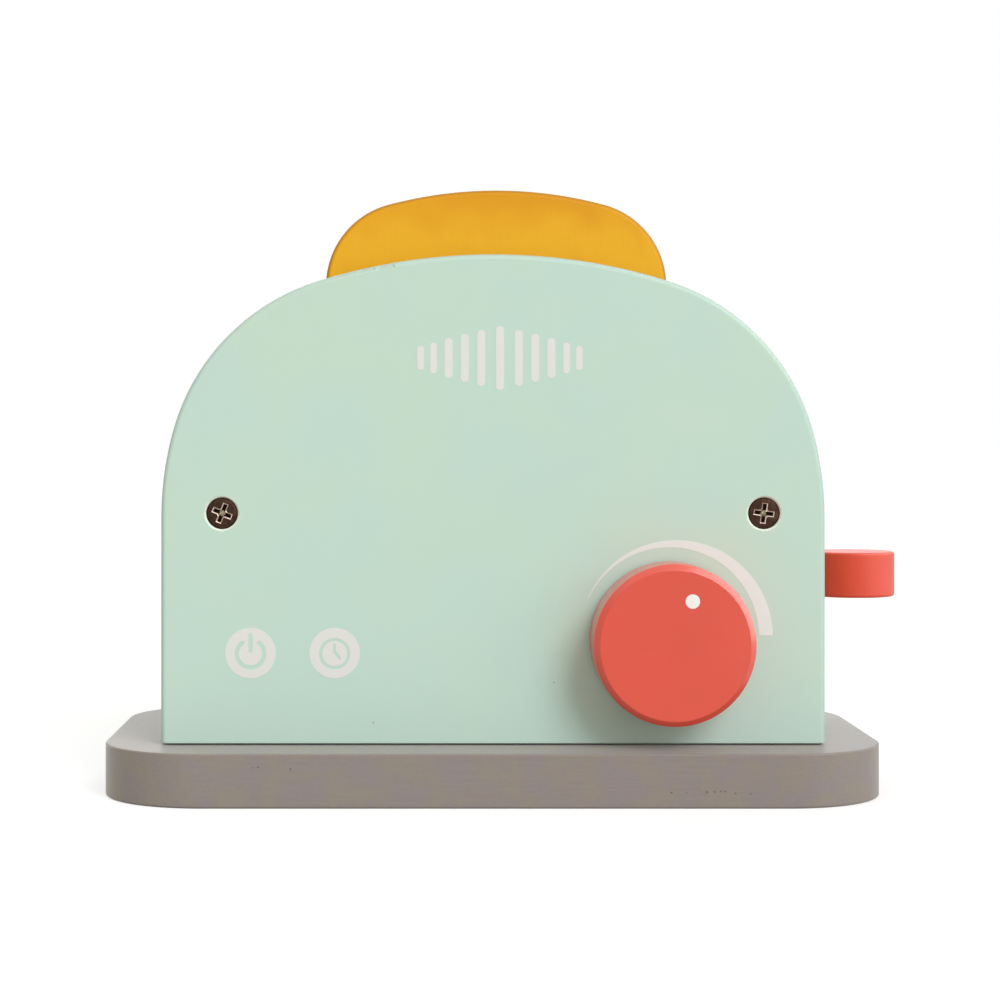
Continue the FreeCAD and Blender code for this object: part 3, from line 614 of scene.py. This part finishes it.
class TOASTER_OT_controls(bpy.types.Operator):
    """Lacquers the knob and the lever's handle red, and paints the pointer dot into the knob's face"""
    bl_idname = "toaster.controls"
    bl_label = "Knob and lever"

    # the drop of paint: clear of its seat's wall, and from behind its rim to just off the seat's floor
    WALL_GAP, RIM_DEPTH, FLOOR_GAP = 0.01 * MM, 0.05 * MM, 0.005 * MM
    SWELL = 0.035 * MM    # how far its middle stands out from its rim
    SOFT_EDGE = 0.1       # width of its sloping edge, as a share of its radius

    def dot_blank(self, prints, radius, front, back):
        """Disc across the knob's face, from one depth behind the face to another."""
        let_go()
        bpy.ops.mesh.primitive_cylinder_add(
            vertices=64, radius=radius, depth=back - front, rotation=(math.pi / 2, 0, 0),
            location=(KNOB_X + prints.dot_x, KNOB_FACE_Y + (front + back) / 2, KNOB_Z + prints.dot_z))
        return settle(bpy.context.object, "dot")

    def execute(self, context):
        tones = context.scene.toaster_colours
        prints = context.scene.toaster_prints
        # the handle takes the lighter copy of the red, as painted light
        finish(red_lacquer("Sprayed_satin_lacquer_red_on_sawn_beech", tuple(tones.handle_red_lit), 0.08, 0.0),
               "lever_handle")
        red = red_lacquer("Sprayed_satin_lacquer_red_on_turned_beech", tuple(tones.red), 0.015, 0.8)
        knob, = finish(red, "knob")
        seat = self.dot_blank(prints, prints.dot_radius, -prints.dot_sink, prints.dot_sink)
        seat.data.materials.append(red)
        cut(knob, seat)

        # the drop of paint fills its seat almost to the face, with a soft edge
        dot = self.dot_blank(prints, prints.dot_radius - self.WALL_GAP, self.RIM_DEPTH,
                             prints.dot_sink - self.FLOOR_GAP)
        pick(dot, "FACE", lambda middle, normal: normal.y < -0.9)
        bpy.ops.mesh.inset(thickness=prints.dot_radius * self.SOFT_EDGE)
        bpy.ops.transform.translate(value=(0, -self.SWELL, 0))
        smooth(dot, 50)
        white = printing_ink("Dropped_on_paint_white", tuple(tones.dot))
        give(settle(dot, "pointer_dot"), white, "dial")
        return {"FINISHED"}


class TOASTER_OT_inside(bpy.types.Operator):
    """Finishes what is inside: bare beech, zinc-plated steel, spring wire, magnet and felt"""
    bl_idname = "toaster.inside"
    bl_label = "Inside"

    def execute(self, context):
        beech = tuple(context.scene.toaster_colours.beech)
        zinc, even = srgb("#b6b8bb"), (1, 1, 1)
        dress(sanded_beech("Sanded_beech_lengthwise", beech, (1 / 16, 1, 1)), "toast_platform", "lever_arm")
        dress(sanded_beech("Sanded_beech_dowel", beech, (1, 1 / 16, 1)),
              "front_dowels", "rear_dowels", "knob_spindle")
        dress(sanded_beech("Sanded_beech_upright", beech, (1, 1, 1 / 16)), "catch_block")
        dress(bright_metal("Drawn_zinc_plated_rod", zinc, 0.3, (1, 1, 1 / 20)), "guide_rods")
        dress(bright_metal("Tumbled_zinc_plated_steel", zinc, 0.34, even),
              "strike_plate", "spindle_washer", "arm_screws", "strike_screw", "spindle_screw")
        springs, = finish(bright_metal("Drawn_spring_steel", srgb("#8d8f93"), 0.26, even), "lift_springs")
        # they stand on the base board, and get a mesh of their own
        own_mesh(springs)
        dress(bright_metal("Nickel_plated_magnet", srgb("#c6c3ba"), 0.16, even), "catch_magnet")
        dress(wool_felt(srgb("#63625f")), "knob_felt_washer")
        return {"FINISHED"}


# ---- printed marks ----
class TOASTER_OT_vent_print(bpy.types.Operator):
    """Prints the eleven upright bars of the vent near the top"""
    bl_idname = "toaster.vent_print"
    bl_label = "Vent bars"

    # distance from the middle bar and height, in millimetres
    BARS = ((0.0, 17.96), (5.27, 15.7), (9.89, 13.47), (14.41, 11.23), (18.68, 8.7), (22.26, 6.76))
    NARROW_FROM = 4

    def execute(self, context):
        prints = context.scene.toaster_prints
        bars = []
        for order, (apart, tall) in enumerate(self.BARS):
            width = prints.vent_end_bar if order >= self.NARROW_FROM else prints.vent_bar
            for side in (1, -1) if order else (1,):
                bars.append(round_ended_bar(width, tall * MM, 2 * prints.film,
                                            prints.vent_x + side * apart * MM, DECK_Z + prints.vent_z))
        ink = printing_ink("Screen_printed_ink_white", tuple(context.scene.toaster_colours.ink))
        give(join(bars, "vent_print"), ink, "body")
        return {"FINISHED"}


class TOASTER_OT_icon_prints(bpy.types.Operator):
    """Prints the round power and clock icons; the lacquer shows through their cut-outs"""
    bl_idname = "toaster.icon_prints"
    bl_label = "Icons"

    # all in millimetres from the middle of the icon's ring
    POWER_DROP, POWER_OUTER, POWER_INNER, POWER_GAP = 0.17, 4.46, 3.25, math.radians(37)
    BAR_WIDTH, BAR_LOW, BAR_HIGH = 1.15, 0.25, 5.8
    CLOCK_DROP, CLOCK_OUTER, CLOCK_INNER = 0.17, 4.4, 3.51
    HAND_WIDTH = 0.76
    WEDGE_TIP = 0.001    # share of its width that the gap's wedge keeps at the ring's middle
    HAND_MEET, HAND_ENDS = (0.0, 0.48), ((0.0, 2.46), (1.49, -1.32))

    def ring(self, outer, inner, x, z, thick):
        return cut(slug(outer * MM, thick, x, z), slug(inner * MM, thick * 2, x, z))

    def power_icon(self, prints, x, z):
        deep = 6 * prints.film
        ring_z = z - self.POWER_DROP * MM
        ring = self.ring(self.POWER_OUTER, self.POWER_INNER, x, ring_z, deep)
        # a wedge from the ring's middle opens the ring at the top
        tall = 2 * self.POWER_OUTER * MM
        let_go()
        bpy.ops.mesh.primitive_cube_add(size=1.0, location=(x, PANEL_FACE_Y, ring_z + tall / 2))
        wedge = bpy.context.object
        wedge.scale = (2 * tall * math.tan(self.POWER_GAP), 2 * deep, tall)
        settle(wedge, "wedge")
        pick(wedge, "VERT", lambda place: place.z < ring_z + tall / 2)
        bpy.ops.transform.resize(value=(self.WEDGE_TIP, 1, 1))
        ring = cut(ring, wedge)
        # and a round end closes each side of the gap
        middle = (self.POWER_OUTER + self.POWER_INNER) / 2 * MM
        end_radius = (self.POWER_OUTER - self.POWER_INNER) / 2 * MM
        end_x, end_z = middle * math.sin(self.POWER_GAP), middle * math.cos(self.POWER_GAP)
        for side in (1, -1):
            ring = cut(ring, slug(end_radius, deep, x + side * end_x, ring_z + end_z, 32), "UNION")
        bar = round_ended_bar(self.BAR_WIDTH * MM, (self.BAR_HIGH - self.BAR_LOW) * MM, deep, x,
                              ring_z + (self.BAR_HIGH + self.BAR_LOW) / 2 * MM)
        return cut(cut(slug(prints.icon_radius, 2 * prints.film, x, z), ring), bar)

    def clock_icon(self, prints, x, z):
        deep = 6 * prints.film
        ring_z = z - self.CLOCK_DROP * MM
        hands = None
        for x1, z1 in self.HAND_ENDS:
            x0, z0 = self.HAND_MEET
            long = math.hypot(x1 - x0, z1 - z0) + self.HAND_WIDTH
            hand = round_ended_bar(self.HAND_WIDTH * MM, long * MM, deep, x + (x0 + x1) / 2 * MM,
                                   ring_z + (z0 + z1) / 2 * MM, math.atan2(x1 - x0, z1 - z0))
            hands = cut(hands, hand, "UNION") if hands else hand
        icon = cut(slug(prints.icon_radius, 2 * prints.film, x, z), hands)
        return cut(icon, self.ring(self.CLOCK_OUTER, self.CLOCK_INNER, x, ring_z, deep))

    def execute(self, context):
        prints = context.scene.toaster_prints
        ink = printing_ink("Screen_printed_ink_white_icons", tuple(context.scene.toaster_colours.ink))
        z = DECK_Z + prints.icon_z
        for shape, x, name in ((self.power_icon, prints.power_x, "power_icon_print"),
                               (self.clock_icon, prints.clock_x, "clock_icon_print")):
            give(settle(shape(prints, x, z), name), ink, "body")
        return {"FINISHED"}


class TOASTER_OT_scale_print(bpy.types.Operator):
    """Prints the crescent round the knob, which swells towards its right end"""
    bl_idname = "toaster.scale_print"
    bl_label = "Knob scale"

    def execute(self, context):
        prints = context.scene.toaster_prints
        x, z = prints.scale_x, DECK_Z + prints.scale_z
        crescent = slug(prints.scale_outer, 2 * prints.film, x + prints.scale_shift, z, 192)
        crescent = cut(crescent, slug(prints.scale_inner, 6 * prints.film, x, z, 192))
        # cut level at its right end, and along a radius at its thin end
        sweep = prints.scale_sweep
        for height, across in ((DECK_Z + prints.scale_end, (0, 0, 1)),
                               (z, (math.sin(sweep), 0, -math.cos(sweep)))):
            pick(crescent, "FACE", lambda middle, normal: True)
            bpy.ops.mesh.bisect(plane_co=(x, PANEL_FACE_Y, height), plane_no=across, use_fill=True,
                                clear_inner=True)
        ink = printing_ink("Screen_printed_ink_white_scale", tuple(context.scene.toaster_colours.scale_ink))
        give(settle(crescent, "scale_print"), ink, "body")
        return {"FINISHED"}


# ---- screws ----
class TOASTER_OT_screws(bpy.types.Operator):
    """Makes the countersunk screws of the panels and the base, with a worn cross in each head"""
    bl_idname = "toaster.screws"
    bl_label = "Screws"

    FRONT_TURNS = (-22, -7)
    REAR_TURNS = (20, 38)
    BASE_TURNS = (-35, -15, 15, 35)
    TOOL_RISE = 0.3 * MM              # how far the cutting tool stands out of the head
    ARM_FOOT, HUB_FOOT = 0.72, 0.12   # share of its size that each keeps at its foot
    TIP = 0.17                        # flat of the point, as a share of the shank's width
    BEVEL = 0.5                       # width of the head's bevelled edge, as a share of the rim

    def cross(self, sizes, dark, facet, worn):
        """Shape of the recess: two crossing bars and a square hub turned between them, each with a
        wide bevelled mouth at the head's face and steeper walls below it."""
        edge = sizes.worn_edge
        flare = 2 * (edge + self.TOOL_RISE)
        finishes = (dark, facet, worn)
        tool = None
        for turn, long, wide, deep, foot, wall in (
                (0, sizes.recess, sizes.arm, sizes.arm_depth, self.ARM_FOOT, dark),
                (90, sizes.recess, sizes.arm, sizes.arm_depth, self.ARM_FOOT, dark),
                (45, sizes.hub, sizes.hub, sizes.depth, self.HUB_FOOT, facet)):
            long, wide = long - 2 * edge, wide - 2 * edge
            let_go()
            bpy.ops.mesh.primitive_cube_add(size=1.0, location=(0, 0, (self.TOOL_RISE - edge) / 2))
            bar = bpy.context.object
            bar.scale = (long, wide, self.TOOL_RISE + edge)
            settle(bar, "bar")
            for material in finishes:
                bar.data.materials.append(material)
            pick(bar, "FACE", lambda middle, normal: normal.z > 0.9)
            bpy.ops.transform.resize(value=(1 + flare / long, 1 + flare / wide, 1))
            pick(bar, "FACE", lambda middle, normal: normal.z < -0.9)
            bpy.ops.mesh.extrude_region_move(TRANSFORM_OT_translate={"value": (0, 0, edge - deep)})
            bpy.ops.transform.resize(value=(foot, foot, 1))
            let_go()
            # the walls of the arms take the darker bronze as painted shade in the recess
            for face in bar.data.polygons:
                face.material_index = finishes.index(worn if face.center.z > -edge else wall)
            bar.rotation_euler = (0, 0, math.radians(turn))
            settle(bar, "bar")
            tool = cut(tool, bar, "UNION") if tool else bar
        return tool

    def model(self, sizes, bronze, dark, facet, worn):
        """Screw with the middle of its head's face at the origin and its shank down along -Z."""
        shank = sizes.shank / 2
        cone = HEAD_RADIUS - shank
        let_go()
        bpy.ops.mesh.primitive_cylinder_add(vertices=96, radius=HEAD_RADIUS, depth=sizes.rim,
                                            location=(0, 0, -sizes.rim / 2))
        screw = settle(bpy.context.object, "screw")
        pick(screw, "FACE", lambda middle, normal: normal.z < -0.9)
        for down, shrink in ((cone, shank / HEAD_RADIUS),
                             (SCREW_LENGTH - sizes.rim - cone - sizes.shank, 1.0), (sizes.shank, self.TIP)):
            bpy.ops.mesh.extrude_region_move(TRANSFORM_OT_translate={"value": (0, 0, -down)})
            bpy.ops.transform.resize(value=(shrink, shrink, 1))
        pick(screw, "EDGE", lambda place: place.z > -sizes.rim / 2)
        bpy.ops.mesh.bevel(offset=self.BEVEL * sizes.rim, segments=2)
        let_go()
        screw.data.materials.clear()
        for material in (bronze, dark):
            screw.data.materials.append(material)
        # painted shade: the head's bevelled edge and rim take the darker bronze, for the shadow in the gap
        # round the head
        for face in screw.data.polygons:
            face.material_index = int(face.center.xy.length > HEAD_RADIUS - self.BEVEL * sizes.rim)
        cut(screw, self.cross(sizes, dark, facet, worn))
        smooth(screw, 28)
        return screw

    def placed(self, model, tilt, x, y, z, turn):
        """Copy turned on its own axis, tilted about X and moved."""
        screw = model.copy()
        screw.data = model.data.copy()
        bpy.context.collection.objects.link(screw)
        screw.rotation_euler = (0, 0, math.radians(turn))
        settle(screw, "screw")
        screw.rotation_euler = (math.radians(tilt), 0, 0)
        screw.location = (x, y, z)
        return settle(screw, "screw")

    def execute(self, context):
        tone = tuple(context.scene.toaster_colours.bronze)
        # the darker bronze is painted shade, laid in the recess's arms and on the head's bevelled edge
        model = self.model(context.scene.toaster_screws, antique_bronze("Antique_bronze_plating", tone, 0.42),
                           antique_bronze("Antique_bronze_in_recess", deeper(tone, 0.6), 0.5),
                           antique_bronze("Antique_bronze_rubbed_in_hub", srgb("#f0ead8"), 0.3), worn_steel())
        sides = (-1, 1)
        corners = [(x, y) for x in sides for y in sides]
        places = {
            "front_panel_screws": [(90, x * PANEL_SCREW_X, FRONT_HEAD_Y, PANEL_SCREW_Z, turn)
                                   for x, turn in zip(sides, self.FRONT_TURNS)],
            "rear_panel_screws": [(-90, x * PANEL_SCREW_X, REAR_HEAD_Y, PANEL_SCREW_Z, turn)
                                  for x, turn in zip(sides, self.REAR_TURNS)],
            "base_screws": [(180, x * BASE_SCREW_X, y * BASE_SCREW_Y, BASE_HEAD_Z, turn)
                            for (x, y), turn in zip(corners, self.BASE_TURNS)],
        }
        for node, spots in places.items():
            screws = join([self.placed(model, *spot) for spot in spots], node + "_plated")
            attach(screws, "body")
            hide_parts(node)
        bpy.data.objects.remove(model, do_unlink=True)
        return {"FINISHED"}


# ---- stage ----
class TOASTER_OT_stage(bpy.types.Operator):
    """Adds the floor, the light and the camera"""
    bl_idname = "toaster.stage"
    bl_label = "Stage"

    FLOOR_SIZE, FAR_CLIP = 30.0, 60.0
    SENSOR_WIDTH = 36.0
    # each lamp has its strength, its direction and its spread among the settings
    LAMPS = ("key", "fill", "top", "back", "side")
    IN_GLOSS_ALONE = ("side",)

    def seen_directly(self, tree):
        """1 for what the camera sees, itself or in a gloss or glass, and 0 for light that is thrown on."""
        path = add(tree, "LightPath")
        seen = add(tree, "Math", {0: path.outputs["Is Camera Ray"], 1: path.outputs["Is Glossy Ray"]},
                   operation="MAXIMUM")
        return add(tree, "Math", {0: seen, 1: path.outputs["Is Transmission Ray"]}, operation="MAXIMUM")

    def execute(self, context):
        stage = context.scene.toaster_stage
        context.scene.view_settings.view_transform = "Standard"

        let_go()
        bpy.ops.mesh.primitive_plane_add(size=self.FLOOR_SIZE)
        floor = settle(bpy.context.object, "stage_floor")
        # matt card: white to the eye and in a gloss, and duller in the light that it throws back
        material, tree = bare_material("Matt_white_card")
        seen = self.seen_directly(tree)
        white = add(tree, "Emission", {"Strength": stage.floor_glow})
        lit = add(tree, "BsdfDiffuse", {"Color": tuple(stage.floor)})
        white = add(tree, "AddShader", {0: white, 1: lit})
        bounce = add(tree, "BsdfDiffuse", {"Color": tuple(stage.floor_bounce)})
        add(tree, "OutputMaterial", {"Surface": add(tree, "MixShader", {0: seen, 1: bounce, 2: white})})
        floor.data.materials.append(material)

        world = bpy.data.worlds.new("Soft_studio")
        context.scene.world = world
        world.use_nodes = True
        tree = world.node_tree
        tree.nodes.clear()
        seen = self.seen_directly(tree)
        strength = add(tree, "MapRange", {"Value": seen, "To Min": stage.sky, "To Max": 1.0})
        tint = add(tree, "Mix", {"Factor": seen, "A": tuple(stage.sky_tint), "B": (1, 1, 1, 1)},
                   data_type="RGBA")
        around = add(tree, "Background", {"Color": tint, "Strength": strength})
        add(tree, "OutputWorld", {"Surface": around})

        for name in self.LAMPS:
            towards = getattr(stage, name + "_towards")
            let_go()
            bpy.ops.object.light_add(type="SUN", location=towards)
            lamp = bpy.context.object
            lamp.name = name + "_lamp"
            lamp.data.energy = getattr(stage, name)
            lamp.data.angle = getattr(stage, name + "_spread")
            lamp.data.color = tuple(stage.lamp_tint)[:3]
            lamp.visible_diffuse = name not in self.IN_GLOSS_ALONE
            lamp.rotation_euler = Vector(towards).to_track_quat("Z", "Y").to_euler()

        bpy.ops.object.camera_add(rotation=(math.pi / 2, 0, 0), location=(
            stage.camera_x, BASE_FRONT_Y - stage.camera_back, DECK_Z + stage.camera_z))
        camera = bpy.context.object
        camera.name = "camera"
        camera.data.lens = stage.lens
        camera.data.sensor_width = self.SENSOR_WIDTH
        camera.data.shift_x = stage.shift_x
        camera.data.shift_y = stage.shift_y
        camera.data.clip_end = self.FAR_CLIP
        context.scene.camera = camera
        return {"FINISHED"}


# ---- sidebar ----
SETTINGS = {"toaster_colours": ToasterColours, "toaster_prints": ToasterPrints,
            "toaster_screws": ToasterScrews, "toaster_stage": ToasterStage}
PIECES = (TOASTER_OT_boards, TOASTER_OT_toast, TOASTER_OT_controls, TOASTER_OT_inside, TOASTER_OT_vent_print,
          TOASTER_OT_icon_prints, TOASTER_OT_scale_print, TOASTER_OT_screws, TOASTER_OT_stage)


class TOASTER_PT_sidebar(bpy.types.Panel):
    """Lists the toaster's settings and pieces"""
    bl_idname = "TOASTER_PT_sidebar"
    bl_label = "Play Toaster"
    bl_space_type = "VIEW_3D"
    bl_region_type = "UI"
    bl_category = "Toaster"

    def draw(self, context):
        for name, group in SETTINGS.items():
            box = self.layout.box()
            for setting in group.__annotations__:
                box.prop(getattr(context.scene, name), setting)
        for piece in PIECES:
            self.layout.operator(piece.bl_idname)


CLASSES = (*SETTINGS.values(), *PIECES, TOASTER_PT_sidebar)


def register():
    for cls in CLASSES:
        bpy.utils.register_class(cls)
    for name, group in SETTINGS.items():
        setattr(bpy.types.Scene, name, bpy.props.PointerProperty(type=group))


def unregister():
    for name in SETTINGS:
        delattr(bpy.types.Scene, name)
    for cls in reversed(CLASSES):
        bpy.utils.unregister_class(cls)


def main():
    register()
    bpy.ops.toaster.boards()
    bpy.ops.toaster.toast()
    bpy.ops.toaster.controls()
    bpy.ops.toaster.inside()
    bpy.ops.toaster.vent_print()
    bpy.ops.toaster.icon_prints()
    bpy.ops.toaster.scale_print()
    bpy.ops.toaster.screws()
    bpy.ops.toaster.stage()
    bpy.context.view_layer.update()


if __name__ == "__main__":
    main()
